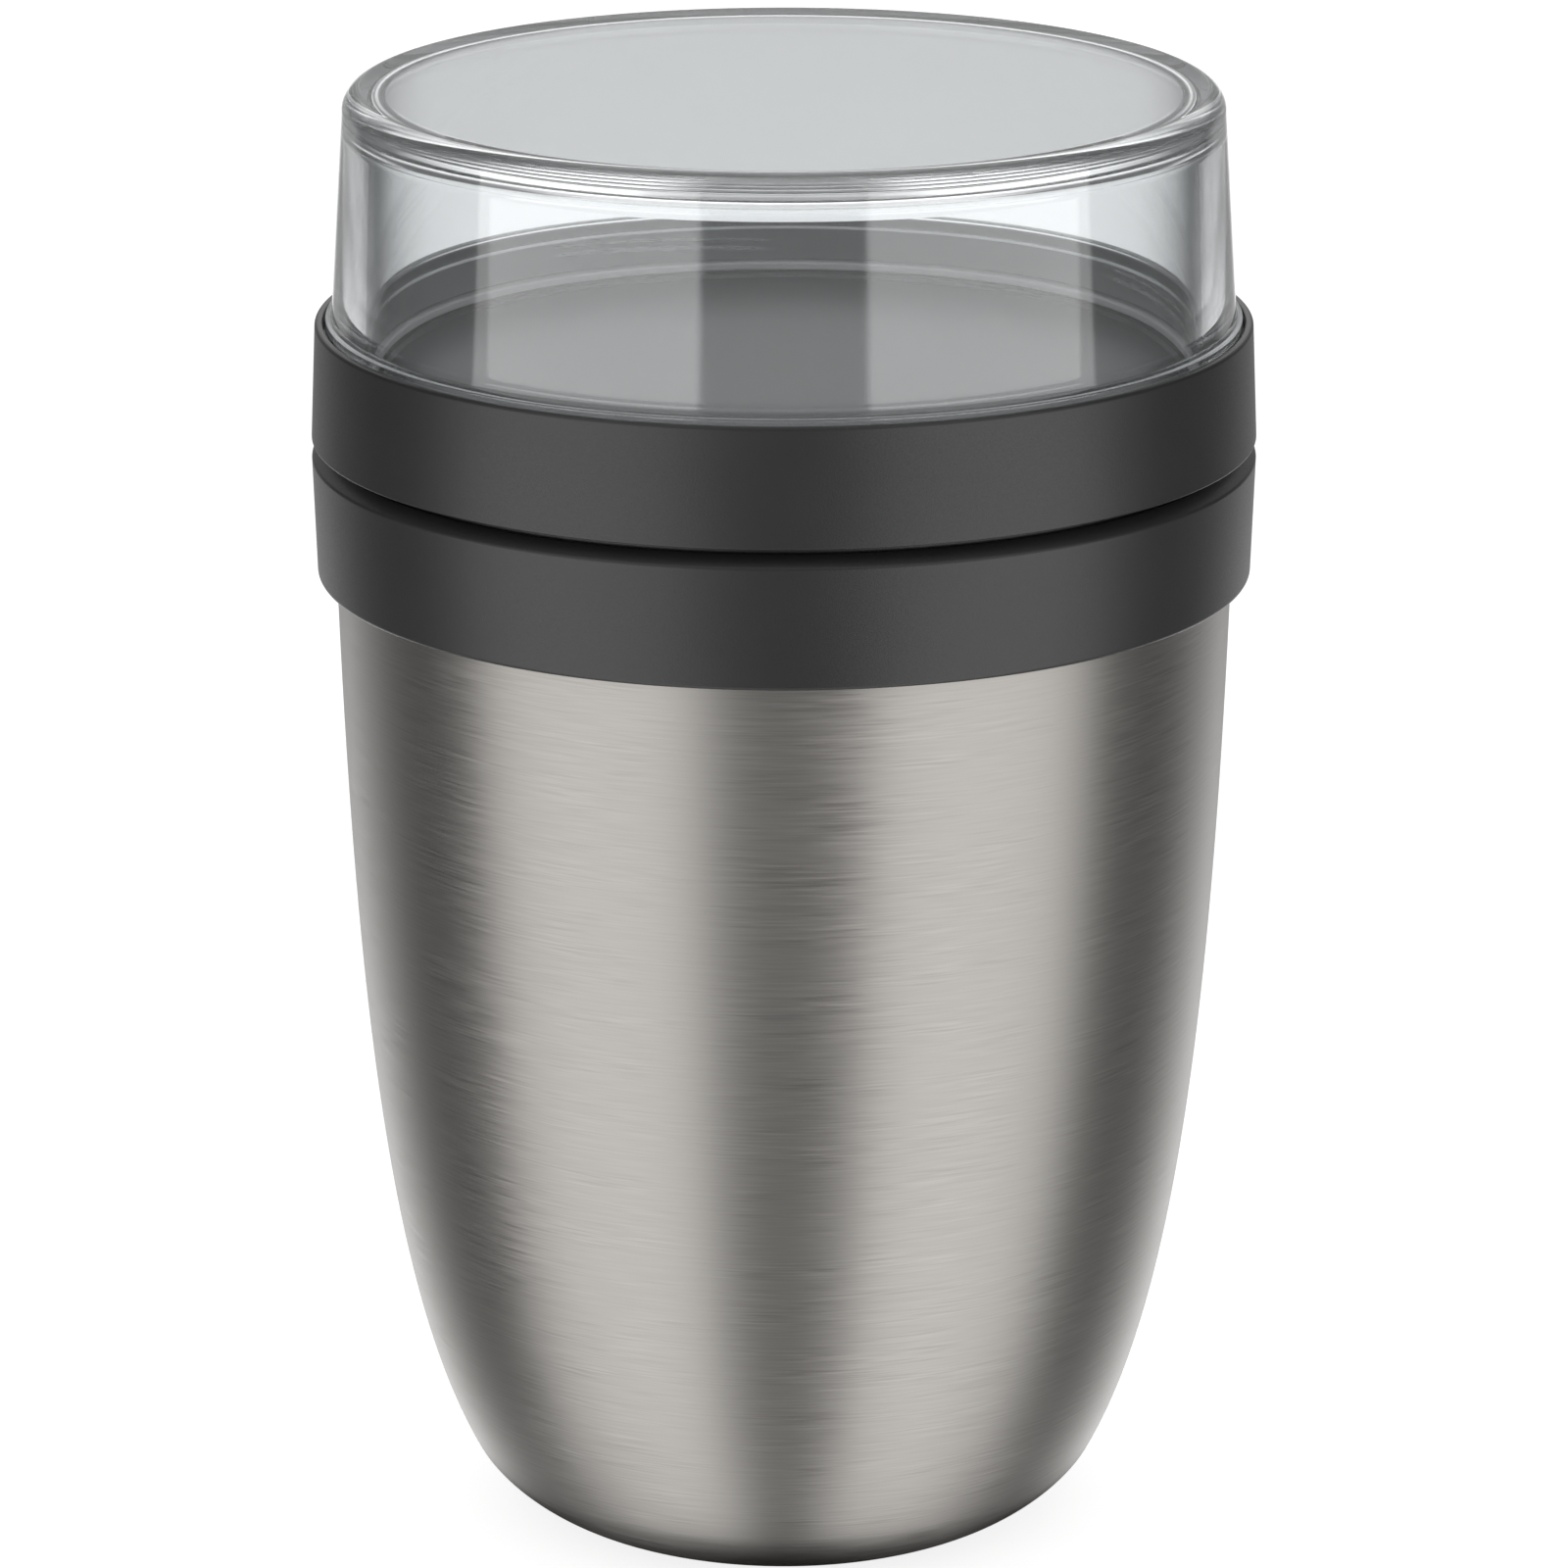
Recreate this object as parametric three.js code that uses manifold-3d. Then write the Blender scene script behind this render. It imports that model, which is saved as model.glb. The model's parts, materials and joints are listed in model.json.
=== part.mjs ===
// Insulated lunch pot: a steel vacuum pot, a screw-on lid ring with a divider floor, and a clear cup that
// sits upside down in the lid ring. Millimetres, +Z up, origin in the middle of the ring the pot stands on.

import * as THREE from 'three';
import { mergeVertices } from 'three/addons/utils/BufferGeometryUtils.js';
import Module from 'manifold-3d';

// Facets around the round pieces and around the small ones, and along their curves
const FACETS = 48;
const SMALL_FACETS = 24;
const FILLET_CHORD = 1.2;
const FOOT_STEPS = 4;
const SIDE_STEPS = 7;
const CORNER_STEPS = 3;

// Clearances
const FIT = 0.3;                  // between pieces that seat on each other
const WELD_GAP = 0.2;             // between steel pieces that are welded
const PLUG_CLEARANCE = 0.8;       // around the lid plug in the mouth of the pot
const THREAD_CLEARANCE = 0.4;     // between a thread's crest and the wall it faces
const THREAD_MARGIN = 0.2;        // from a thread to the end of its wall
const GETTER_ROOM = 3;            // between the getter clip and the liner

// Outside of the two dark rings
const RING_RADIUS = 53.5;
const COLLAR_HEIGHT = 13.6;
const COLLAR_TAPER = 0.44;
const GROOVE_HEIGHT = 2.1;
const GROOVE_DEPTH = 2.1;
const LID_HEIGHT = 13.3;
const LID_TAPER = 0.58;
const RING_FILLET = 0.5;

// Steel outer shell: a flat foot ring, a rounded foot up to the knee, and a long side up to the shoulder
const SHELL_WALL = 0.6;
const FOOT_RADIUS = 24;
const FOOT_WIDTH = 2.4;
const FOOT_LIP = 2.6;
const FOOT_REACH = 5.5;
const KNEE_RADIUS = 36.6;
const KNEE_HEIGHT = 7.8;
const KNEE_SLOPE = 62;            // degrees from the floor
const KNEE_REACH_BELOW = 3.4;
const KNEE_REACH_ABOVE = 22;
const SIDE_REACH = 47;
const SIDE_LEAN = 1.4;            // degrees from upright, under the collar
const SHELL_HEIGHT = 115;
const SHOULDER_HEIGHT = 4;
const RING_OVERHANG = 2.5;        // how far the collar stands proud of the steel

// Vacuum space and inner liner
const LINER_WALL = 0.6;
const VACUUM_GAP = 6;
const NECK_GAP = 1.1;
const LINER_CORNER = 6;
const FOIL_WALL = 0.3;
const FOIL_MARGIN = 5;

// Bottom of the pot
const COVER_RECESS = 0.4;
const COVER_WALL = 0.6;
const BOTTOM_WALL = 0.6;
const PORT_RADIUS = 0.8;
const DIMPLE_RADIUS = 4.4;
const DIMPLE_FLOOR_RADIUS = 3.2;
const DIMPLE_DEPTH = 1.5;
const BEAD_RADIUS = 2.6;
const BEAD_THICKNESS = 1.1;
const GETTER_RADIUS = 5;
const GETTER_THICKNESS = 2.2;
const GETTER_OFFSET = 12;
const CLIP_WALL = 0.5;
const CLIP_WIDTH = 5;
const CLIP_FOOT = 2;

// Collar on the neck
const COLLAR_LAP = 2.4;           // how far the collar reaches down over the side of the shell
const COLLAR_WEB = 1.8;
const SLEEVE_WALL = 1.3;
const COLLAR_SEAL_THICKNESS = 1.5;

// Screw threads, the same on the neck and on the cup: short ridges on several starts
const THREAD_STARTS = 4;
const THREAD_PITCH = 3;
const THREAD_DEPTH = 0.8;
const THREAD_ROOT = 1.5;
const THREAD_CREST = 0.7;
const THREAD_ARC_FACETS = 5;
const THREAD_END_DEPTH = 0.2;
const THREAD_EMBED = 0.4;

// Lid ring with its divider floor
const SKIRT_WALL = 1.3;
const FLOOR_DEPTH = 7.2;
const FLOOR_WALL = 1.8;
const LEDGE_STEP = 0.5;
const LEDGE_WALL = 1.6;
const RIM_WIDTH = 0.92;
const SEAT_DEPTH = 1.6;
const SEAT_STEP = 1.5;
const LID_GASKET_THICKNESS = 1.4;
const LID_GASKET_FILLET = 0.45;

// Insulating plug under the divider floor
const PLUG_DEPTH = 10.8;
const PLUG_WALL = 1.8;
const PLUG_FILLET = 2.5;
const RIB_WALL = 1.2;
const RIB_DEPTH = 3;

// Clear cup
const CUP_RISE = 26.3;            // above the lid ring
const CUP_TAPER = 1.7;
const CUP_WALL = 3.45;            // at the foot
const CUP_WALL_ABOVE = 3.15;      // at the ceiling
const CUP_TOP_WALL = 2.8;
const CUP_FILLET = 2.2;
const CUP_INNER_FILLET = 2.8;
const FLANGE_STEP = 0.68;
const FLANGE_HEIGHT = 1.8;
const FLANGE_FILLET = 0.3;
const CUP_GASKET_THICKNESS = 1;
const CUP_GASKET_INSET = 0.5;

// Heights that follow from the sizes above
const collarBottom = SHELL_HEIGHT - COLLAR_LAP;
const collarTop = collarBottom + COLLAR_HEIGHT;
const lidBottom = collarTop + GROOVE_HEIGHT;
const lidTop = lidBottom + LID_HEIGHT;
const skirtBottom = collarTop + FIT;
const floorTop = lidTop - FLOOR_DEPTH;
const floorUnder = floorTop - FLOOR_WALL;
const ledge = floorTop + LEDGE_STEP;
const ledgeUnder = ledge - LEDGE_WALL;
const lidGasketTop = ledgeUnder - FIT;
const lidGasketBottom = lidGasketTop - LID_GASKET_THICKNESS;
const mouth = lidGasketBottom - FIT;
const shoulderTop = SHELL_HEIGHT + SHOULDER_HEIGHT;
const shellTop = mouth - LINER_WALL - WELD_GAP;
const collarSealBottom = shoulderTop + FIT;
const sleeveBottom = collarSealBottom + COLLAR_SEAL_THICKNESS + FIT;
const plugTop = floorUnder - FIT;
const plugBottom = plugTop - PLUG_DEPTH;
const coverTop = COVER_RECESS + COVER_WALL;
const bottomUnder = coverTop + FIT;
const bottomTop = bottomUnder + BOTTOM_WALL;
const clipHeight = GETTER_THICKNESS + 2 * FIT + CLIP_WALL;
const getterSeat = bottomTop + FIT;
const linerBottom = getterSeat + clipHeight + GETTER_ROOM;
const seatFloor = lidTop - SEAT_DEPTH;
const flangeBottom = seatFloor + FIT;
const flangeTop = flangeBottom + FLANGE_HEIGHT;
const cupGasketBottom = ledge + FIT;
const cupRim = cupGasketBottom + CUP_GASKET_THICKNESS + FIT;
const cupTop = lidTop + CUP_RISE;
const cupCeiling = cupTop - CUP_TOP_WALL;

// Radii that follow, from the dark rings inwards
const shellRadius = RING_RADIUS - RING_OVERHANG;
const skirtOuter = RING_RADIUS - GROOVE_DEPTH;
const skirtInner = skirtOuter - SKIRT_WALL;
const neckCrest = skirtInner - THREAD_CLEARANCE;
const sleeveOuter = neckCrest - THREAD_DEPTH;
const skirtCrest = skirtInner - THREAD_DEPTH;
const sleeveInner = sleeveOuter - SLEEVE_WALL;
const neckOuter = sleeveInner - FIT;
const linerNeckOuter = neckOuter - SHELL_WALL - NECK_GAP;
const linerNeckInner = linerNeckOuter - LINER_WALL;
const plugOuter = linerNeckInner - PLUG_CLEARANCE;
const plugInner = plugOuter - PLUG_WALL;
const ribOuter = plugInner - FIT;
const ribInner = ribOuter - RIB_WALL;
const footInner = FOOT_RADIUS - FOOT_WIDTH;
const lidTopRadius = RING_RADIUS - LID_TAPER;
const seatRadius = lidTopRadius - RIM_WIDTH;
const cupBore = seatRadius - SEAT_STEP;
const cupBoreCrest = cupBore - THREAD_DEPTH;
const cupCrest = cupBore - THREAD_CLEARANCE;
const cupNeckOuter = cupCrest - THREAD_DEPTH;
const flangeRadius = seatRadius - FIT;
const cupFootRadius = flangeRadius - FLANGE_STEP;
const cupTopRadius = cupFootRadius - CUP_TAPER;
const cupInner = cupFootRadius - CUP_WALL;
const cupLean = CUP_TAPER / (cupTop - flangeTop);
const cupCeilingRadius = cupFootRadius - cupLean * (cupCeiling - flangeTop) - CUP_WALL_ABOVE;
const cupGasketInner = cupInner - CUP_GASKET_INSET;
const ledgeInner = cupGasketInner - FIT;

// Thread helix
const facetAngle = (2 * Math.PI) / FACETS;
const threadLead = THREAD_STARTS * THREAD_PITCH;
const threadRise = (threadLead * THREAD_ARC_FACETS) / FACETS;
const threadHalfHeight = (threadRise + THREAD_ROOT) / 2;
const neckThread = mouth - THREAD_MARGIN - threadHalfHeight;
const cupThread = flangeBottom - THREAD_MARGIN - threadHalfHeight;

// Materials
const steel = new THREE.MeshStandardMaterial({ color: 0xb3afa9, roughness: 0.36, metalness: 1 });
const linerSteel = new THREE.MeshStandardMaterial({ color: 0xc2c1bd, roughness: 0.22, metalness: 1 });
const darkPlastic = new THREE.MeshStandardMaterial({ color: 0x3c3c3d, roughness: 0.5, metalness: 0 });
const clearPlastic = new THREE.MeshStandardMaterial({
  color: 0xe3ebee, roughness: 0.04, metalness: 0, transparent: true, opacity: 0.3,
});
const silicone = new THREE.MeshStandardMaterial({ color: 0x6c6f70, roughness: 0.7, metalness: 0 });
const foam = new THREE.MeshStandardMaterial({ color: 0xe9e6dd, roughness: 0.9, metalness: 0 });
const copper = new THREE.MeshStandardMaterial({ color: 0xb87a52, roughness: 0.25, metalness: 1 });
const getterAlloy = new THREE.MeshStandardMaterial({ color: 0x5c5e60, roughness: 0.7, metalness: 0.8 });
const solder = new THREE.MeshStandardMaterial({ color: 0x8f9496, roughness: 0.3, metalness: 0.9 });

// Outlines are lists of [radius, height], anticlockwise round the material

function bezier(start, startHandle, endHandle, end, steps) {
  const ends = [start, startHandle, endHandle, end].map(([r, z]) => new THREE.Vector2(r, z));
  return new THREE.CubicBezierCurve(...ends).getPoints(steps).map((p) => [p.x, p.y]);
}

// The same path moved sideways: towards the axis on a path that climbs, upwards on one that runs outwards
function inset(path, distance) {
  const normals = [];
  for (let i = 1; i < path.length; i += 1) {
    const run = path[i][0] - path[i - 1][0];
    const climb = path[i][1] - path[i - 1][1];
    const length = Math.hypot(run, climb);
    normals.push([-climb / length, run / length]);
  }
  return path.map(([r, z], i) => {
    const before = normals[Math.max(i - 1, 0)];
    const after = normals[Math.min(i, normals.length - 1)];
    const scale = distance / (1 + before[0] * after[0] + before[1] * after[1]);
    return [r + (before[0] + after[0]) * scale, z + (before[1] + after[1]) * scale];
  });
}

// Replaces each corner that has a third number by an arc of that radius, limited by its walls
function rounded(corners) {
  const points = [];
  corners.forEach(([r, z, fillet], i) => {
    const corner = new THREE.Vector2(r, z);
    if (!fillet) {
      points.push(corner);
      return;
    }
    const before = new THREE.Vector2(...corners[(i + corners.length - 1) % corners.length]).sub(corner);
    const after = new THREE.Vector2(...corners[(i + 1) % corners.length]).sub(corner);
    const half = Math.acos(before.dot(after) / (before.length() * after.length())) / 2;
    const wall = Math.min(before.length(), after.length()) / 2;
    const setback = Math.min(fillet / Math.tan(half), wall);
    const radius = setback * Math.tan(half);
    const toCentre = before.clone().normalize().add(after.clone().normalize()).normalize();
    const centre = corner.clone().addScaledVector(toCentre, radius / Math.sin(half));
    const start = corner.clone().addScaledVector(before.normalize(), setback).sub(centre);
    const end = corner.clone().addScaledVector(after.normalize(), setback).sub(centre);
    const turn = Math.atan2(start.cross(end), start.dot(end));
    const steps = Math.ceil((radius * Math.abs(turn)) / FILLET_CHORD);
    for (let step = 0; step <= steps; step += 1) {
      const spoke = start.clone().rotateAround(new THREE.Vector2(), (turn * step) / steps);
      points.push(spoke.add(centre));
    }
  });
  return points;
}

// Merges shared vertices and drops the flat triangles on the axis
function closed(geometry) {
  geometry.deleteAttribute('normal');
  geometry.deleteAttribute('uv');
  const merged = mergeVertices(geometry);
  const corners = merged.index.array;
  const kept = [];
  for (let i = 0; i < corners.length; i += 3) {
    const [a, b, c] = corners.slice(i, i + 3);
    if (a !== b && b !== c && c !== a) {
      kept.push(a, b, c);
    }
  }
  merged.setIndex(kept);
  merged.computeVertexNormals();
  return merged;
}

// Turns an outline round the Z axis, and closes it on itself where it doesn't start and end on the axis
function turned(corners, facets = FACETS) {
  const points = rounded(corners);
  if (points[0].x > 0) {
    points.push(points[0].clone());
  }
  const geometry = new THREE.LatheGeometry(points, facets);
  geometry.rotateX(Math.PI / 2);
  return closed(geometry);
}

// Joins solids into one
const wasm = await Module();
wasm.setup();

function solidOf(geometry) {
  const vertProperties = new Float32Array(geometry.attributes.position.array);
  const triVerts = new Uint32Array(geometry.index.array);
  return new wasm.Manifold(new wasm.Mesh({ numProp: 3, vertProperties, triVerts }));
}

function joined(geometries) {
  const [first, ...others] = geometries.map(solidOf);
  const mesh = others.reduce((sum, solid) => sum.add(solid), first).getMesh();
  const geometry = new THREE.BufferGeometry();
  geometry.setAttribute('position', new THREE.BufferAttribute(mesh.vertProperties, mesh.numProp));
  geometry.setIndex(new THREE.BufferAttribute(mesh.triVerts, 1));
  geometry.computeVertexNormals();
  return geometry;
}

// One thread ridge on a round wall, right-handed, with shallow ends; it stands out towards the crest radius
function threadRidge(wallRadius, crestRadius, middle, startFacet) {
  const away = Math.sign(crestRadius - wallRadius);
  const rootRadius = wallRadius - away * THREAD_EMBED;
  const positions = [];
  for (let step = 0; step <= THREAD_ARC_FACETS; step += 1) {
    const angle = (startFacet + step) * facetAngle;
    const z = middle + threadRise * (step / THREAD_ARC_FACETS - 0.5);
    const atEnd = step === 0 || step === THREAD_ARC_FACETS;
    const reach = atEnd ? THREAD_END_DEPTH : THREAD_DEPTH;
    const root = [rootRadius, THREAD_ROOT / 2];
    const crest = [wallRadius + away * reach, THREAD_CREST / 2];
    const [inner, outer] = away > 0 ? [root, crest] : [crest, root];
    const section = [
      [inner[0], z - inner[1]],
      [outer[0], z - outer[1]],
      [outer[0], z + outer[1]],
      [inner[0], z + inner[1]],
    ];
    section.forEach(([r, height]) => positions.push(r * Math.cos(angle), r * Math.sin(angle), height));
  }
  const sides = 4;
  const index = [0, 1, 2, 0, 2, 3];
  for (let step = 0; step < THREAD_ARC_FACETS; step += 1) {
    for (let side = 0; side < sides; side += 1) {
      const a = step * sides + side;
      const b = step * sides + ((side + 1) % sides);
      index.push(a, a + sides, b, b, a + sides, b + sides);
    }
  }
  const last = THREAD_ARC_FACETS * sides;
  index.push(last, last + 2, last + 1, last, last + 3, last + 2);
  const geometry = new THREE.BufferGeometry();
  geometry.setAttribute('position', new THREE.Float32BufferAttribute(positions, 3));
  geometry.setIndex(index);
  return geometry;
}

function threadRidges(wallRadius, crestRadius, middle) {
  const spacing = FACETS / THREAD_STARTS;
  const starts = Array.from({ length: THREAD_STARTS }, (_, start) => start * spacing);
  return starts.map((facet) => threadRidge(wallRadius, crestRadius, middle, facet));
}

// Side of the outer shell, from the foot ring up to the shoulder
function shellSide() {
  const slope = THREE.MathUtils.degToRad(KNEE_SLOPE);
  const lean = Math.tan(THREE.MathUtils.degToRad(SIDE_LEAN));
  const alongKnee = (reach) => [KNEE_RADIUS + reach * Math.cos(slope), KNEE_HEIGHT + reach * Math.sin(slope)];
  const foot = bezier(
    [FOOT_RADIUS, 0], [FOOT_RADIUS + FOOT_REACH, 0], alongKnee(-KNEE_REACH_BELOW), alongKnee(0),
    FOOT_STEPS,
  );
  const side = bezier(
    alongKnee(0), alongKnee(KNEE_REACH_ABOVE),
    [shellRadius - lean * SIDE_REACH, SHELL_HEIGHT - SIDE_REACH], [shellRadius, SHELL_HEIGHT],
    SIDE_STEPS,
  );
  return [...foot.slice(0, -1), ...side];
}

function outerShell() {
  const outside = [
    [footInner, FOOT_LIP],
    [footInner, 0],
    ...shellSide(),
    [neckOuter, shoulderTop],
    [neckOuter, shellTop],
  ];
  return turned([...outside, ...inset(outside, SHELL_WALL).reverse()]);
}

// Vacuum side of the liner, from the middle of its bottom up to the mouth
function linerOutside() {
  const side = inset(shellSide(), SHELL_WALL + VACUUM_GAP).filter(([, z]) => z > linerBottom + LINER_CORNER);
  const [low, next] = side;
  const slope = (next[0] - low[0]) / (next[1] - low[1]);
  const knee = new THREE.Vector2(low[0] - (low[1] - linerBottom) * slope, linerBottom);
  const start = new THREE.Vector2(knee.x - LINER_CORNER, linerBottom);
  const end = new THREE.Vector2(...low);
  const corner = new THREE.QuadraticBezierCurve(start, knee, end).getPoints(CORNER_STEPS);
  return [
    [0, linerBottom],
    ...corner.slice(0, -1).map((p) => [p.x, p.y]),
    ...side,
    [linerNeckOuter, shoulderTop],
    [linerNeckOuter, mouth],
  ];
}

function innerLiner() {
  const outside = linerOutside();
  const inside = inset(outside, LINER_WALL).reverse();
  const lip = [
    [linerNeckOuter, mouth - LINER_WALL],
    [neckOuter, mouth - LINER_WALL],
    [neckOuter, mouth],
  ];
  return turned([...outside.slice(0, -1), ...lip, ...inside]);
}

function heatFoil() {
  const wrapped = linerOutside().filter(
    ([, z]) => z > linerBottom + LINER_CORNER && z < SHELL_HEIGHT - FOIL_MARGIN,
  );
  return turned([...inset(wrapped, -FIT - FOIL_WALL), ...inset(wrapped, -FIT).reverse()]);
}

function outerBottom() {
  const edge = footInner - WELD_GAP;
  const under = [
    [PORT_RADIUS, bottomUnder + DIMPLE_DEPTH],
    [DIMPLE_FLOOR_RADIUS, bottomUnder + DIMPLE_DEPTH],
    [DIMPLE_RADIUS, bottomUnder],
    [edge, bottomUnder],
  ];
  return turned([...under, ...inset(under, BOTTOM_WALL).reverse()], SMALL_FACETS);
}

function vacuumSealBead() {
  const top = bottomUnder + DIMPLE_DEPTH - WELD_GAP;
  const under = top - BEAD_THICKNESS;
  const outline = [[0, under], [BEAD_RADIUS, under, BEAD_THICKNESS / 2], [BEAD_RADIUS, top], [0, top]];
  return turned(outline, SMALL_FACETS);
}

function baseCover() {
  const edge = footInner - WELD_GAP;
  return turned([[0, COVER_RECESS], [edge, COVER_RECESS, COVER_WALL / 2], [edge, coverTop], [0, coverTop]]);
}

function getterPellet() {
  const geometry = new THREE.CylinderGeometry(GETTER_RADIUS, GETTER_RADIUS, GETTER_THICKNESS, SMALL_FACETS);
  geometry.rotateX(Math.PI / 2);
  geometry.translate(0, 0, FIT + GETTER_THICKNESS / 2);
  return closed(geometry);
}

// Strap with two feet, bent over the pellet
function getterClip() {
  const inside = GETTER_RADIUS + FIT;
  const outside = inside + CLIP_WALL;
  const tip = outside + CLIP_FOOT;
  const outline = [
    [-tip, 0], [-inside, 0], [-inside, clipHeight - CLIP_WALL], [inside, clipHeight - CLIP_WALL],
    [inside, 0], [tip, 0], [tip, CLIP_WALL], [outside, CLIP_WALL],
    [outside, clipHeight], [-outside, clipHeight], [-outside, CLIP_WALL], [-tip, CLIP_WALL],
  ];
  const shape = new THREE.Shape(outline.map(([x, y]) => new THREE.Vector2(x, y)));
  const geometry = new THREE.ExtrudeGeometry(shape, { depth: CLIP_WIDTH, bevelEnabled: false });
  geometry.translate(0, 0, -CLIP_WIDTH / 2);
  geometry.rotateX(Math.PI / 2);
  return closed(geometry);
}

function neckCollar() {
  const skirt = shellRadius + FIT;
  const webUnder = collarTop - COLLAR_WEB;
  const ring = turned([
    [RING_RADIUS - COLLAR_TAPER, collarBottom, RING_FILLET],
    [RING_RADIUS, collarTop, RING_FILLET],
    [sleeveOuter, collarTop],
    [sleeveOuter, mouth],
    [sleeveInner, mouth],
    [sleeveInner, sleeveBottom],
    [sleeveOuter, sleeveBottom],
    [sleeveOuter, webUnder],
    [skirt, webUnder],
    [skirt, collarBottom],
  ]);
  return joined([ring, ...threadRidges(sleeveOuter, neckCrest, neckThread)]);
}

function collarSeal() {
  const top = collarSealBottom + COLLAR_SEAL_THICKNESS;
  return turned([
    [sleeveInner, collarSealBottom], [sleeveOuter, collarSealBottom], [sleeveOuter, top], [sleeveInner, top],
  ]);
}

function lidRing() {
  const ring = turned([
    [0, floorUnder],
    [ribInner, floorUnder],
    [ribInner, floorUnder - RIB_DEPTH],
    [ribOuter, floorUnder - RIB_DEPTH],
    [ribOuter, floorUnder],
    [plugOuter, floorUnder],
    [plugOuter, ledgeUnder],
    [skirtInner, ledgeUnder],
    [skirtInner, skirtBottom],
    [skirtOuter, skirtBottom],
    [skirtOuter, lidBottom],
    [RING_RADIUS, lidBottom, RING_FILLET],
    [lidTopRadius, lidTop, RING_FILLET],
    [seatRadius, lidTop],
    [seatRadius, seatFloor],
    [cupBore, seatFloor],
    [cupBore, ledge],
    [ledgeInner, ledge],
    [ledgeInner - LEDGE_STEP, floorTop],
    [0, floorTop],
  ]);
  const neckRidges = threadRidges(skirtInner, skirtCrest, neckThread - THREAD_PITCH / 2);
  const cupRidges = threadRidges(cupBore, cupBoreCrest, cupThread - THREAD_PITCH / 2);
  return joined([ring, ...neckRidges, ...cupRidges]);
}

function lidPlug() {
  return turned([
    [0, plugBottom],
    [plugOuter, plugBottom, PLUG_FILLET],
    [plugOuter, plugTop],
    [plugInner, plugTop],
    [plugInner, plugBottom + PLUG_WALL],
    [0, plugBottom + PLUG_WALL],
  ]);
}

function plugInsulation() {
  const edge = ribInner - FIT;
  const under = plugBottom + PLUG_WALL + FIT;
  return turned([[0, under], [edge, under], [edge, plugTop], [0, plugTop]]);
}

function lidGasket() {
  const inner = plugOuter + FIT;
  return turned([
    [inner, lidGasketBottom],
    [sleeveOuter, lidGasketBottom, LID_GASKET_FILLET],
    [sleeveOuter, lidGasketTop],
    [inner, lidGasketTop],
  ]);
}

function cupGasket() {
  const top = cupGasketBottom + CUP_GASKET_THICKNESS;
  return turned([
    [cupGasketInner, cupGasketBottom], [cupNeckOuter, cupGasketBottom],
    [cupNeckOuter, top], [cupGasketInner, top],
  ]);
}

function clearCup() {
  const cup = turned([
    [0, cupCeiling],
    [cupCeilingRadius, cupCeiling, CUP_INNER_FILLET],
    [cupInner, flangeTop],
    [cupInner, cupRim],
    [cupNeckOuter, cupRim],
    [cupNeckOuter, flangeBottom],
    [flangeRadius, flangeBottom],
    [flangeRadius, flangeTop, FLANGE_FILLET],
    [cupFootRadius, flangeTop],
    [cupTopRadius, cupTop, CUP_FILLET],
    [0, cupTop],
  ]);
  return joined([cup, ...threadRidges(cupNeckOuter, cupCrest, cupThread)]);
}

function piece(name, geometry, material) {
  const mesh = new THREE.Mesh(geometry, material);
  mesh.name = name;
  return mesh;
}

// The getter and its clip sit beside the evacuation port, with the strap across the radius
const getter = new THREE.Group();
getter.position.set(GETTER_OFFSET, 0, getterSeat);
getter.rotation.z = Math.PI / 2;
getter.add(
  piece('getter_pellet', getterPellet(), getterAlloy),
  piece('getter_clip', getterClip(), steel),
);

const pot = new THREE.Group();
pot.add(
  piece('outer_shell', outerShell(), steel),
  piece('inner_liner', innerLiner(), linerSteel),
  piece('heat_foil', heatFoil(), copper),
  piece('outer_bottom', outerBottom(), steel),
  piece('vacuum_seal_bead', vacuumSealBead(), solder),
  piece('base_cover', baseCover(), steel),
  piece('neck_collar', neckCollar(), darkPlastic),
  piece('collar_seal', collarSeal(), silicone),
  getter,
);

const lid = new THREE.Group();
lid.add(
  piece('lid_ring', lidRing(), darkPlastic),
  piece('lid_plug', lidPlug(), darkPlastic),
  piece('plug_insulation', plugInsulation(), foam),
  piece('lid_gasket', lidGasket(), silicone),
);

const cup = new THREE.Group();
cup.add(
  piece('clear_cup', clearCup(), clearPlastic),
  piece('cup_gasket', cupGasket(), silicone),
);

const lunchPot = new THREE.Group();
lunchPot.add(pot, lid, cup);

export default lunchPot;
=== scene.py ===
"""Insulated lunch pot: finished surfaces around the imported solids, in a plain pale studio.

Sizes are in millimetres, as on the solids, and the lathe turns them into metres.
+Z is up, and the camera stands on the -Y side.
"""

import json
import math

import bpy
import numpy as np
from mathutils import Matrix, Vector


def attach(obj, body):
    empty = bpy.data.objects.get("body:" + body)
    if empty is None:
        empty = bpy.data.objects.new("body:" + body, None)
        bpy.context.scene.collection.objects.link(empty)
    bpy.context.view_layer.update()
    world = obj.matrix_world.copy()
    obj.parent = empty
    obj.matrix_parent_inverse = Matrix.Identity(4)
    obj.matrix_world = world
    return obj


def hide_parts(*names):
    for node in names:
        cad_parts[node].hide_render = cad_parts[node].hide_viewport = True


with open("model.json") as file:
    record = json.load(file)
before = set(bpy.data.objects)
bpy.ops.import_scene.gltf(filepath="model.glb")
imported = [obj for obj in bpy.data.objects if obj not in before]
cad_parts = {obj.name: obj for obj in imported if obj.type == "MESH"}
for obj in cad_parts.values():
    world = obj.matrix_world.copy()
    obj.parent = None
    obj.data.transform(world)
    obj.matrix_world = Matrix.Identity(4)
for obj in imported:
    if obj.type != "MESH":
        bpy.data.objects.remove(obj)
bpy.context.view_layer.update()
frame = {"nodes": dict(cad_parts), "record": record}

MM = 0.001
HALF_TURN = 180

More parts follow.
